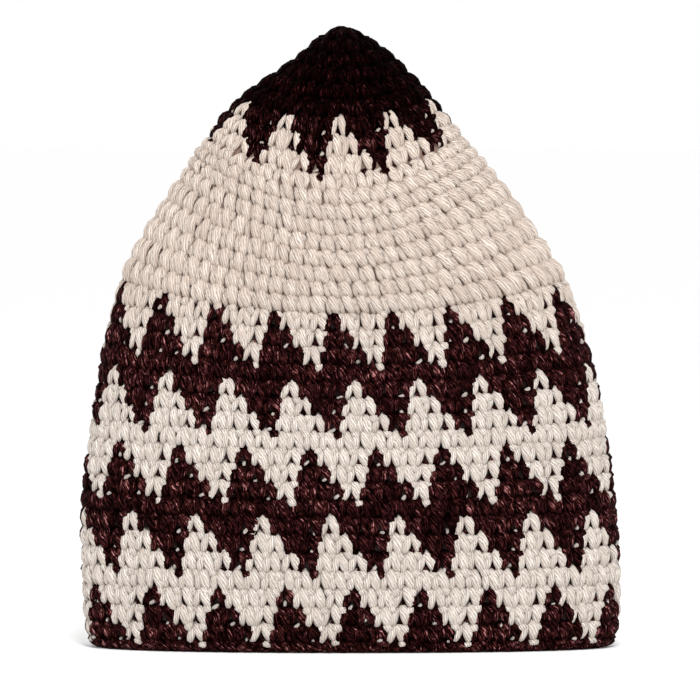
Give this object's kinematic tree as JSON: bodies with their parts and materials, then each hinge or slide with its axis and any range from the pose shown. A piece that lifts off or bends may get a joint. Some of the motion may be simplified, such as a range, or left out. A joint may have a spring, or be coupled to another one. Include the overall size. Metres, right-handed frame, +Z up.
{
  "type": "kufi",
  "caption": "Tall pointed kufi, crocheted in rounds, with ivory and dark brown zigzag bands, a plain ivory field and a brown crown.",
  "frame": {"origin": "middle of the rim's underside, on the surface the hat stands on", "axes": "+Z up to the tip, -Y out of the front, +X to the right seen from the front"},
  "size_m": [0.2193, 0.074, 0.254],
  "materials": {
    "ivory_yarn": "matte",
    "brown_yarn": "matte"
  },
  "bodies": {
    "root": {"rim_brown": "brown_yarn", "low_band_ivory": "ivory_yarn", "low_band_brown": "brown_yarn", "middle_band_ivory": "ivory_yarn", "middle_band_brown": "brown_yarn", "upper_field_ivory": "ivory_yarn", "crown_brown": "brown_yarn"}
  },
  "joints": []
}
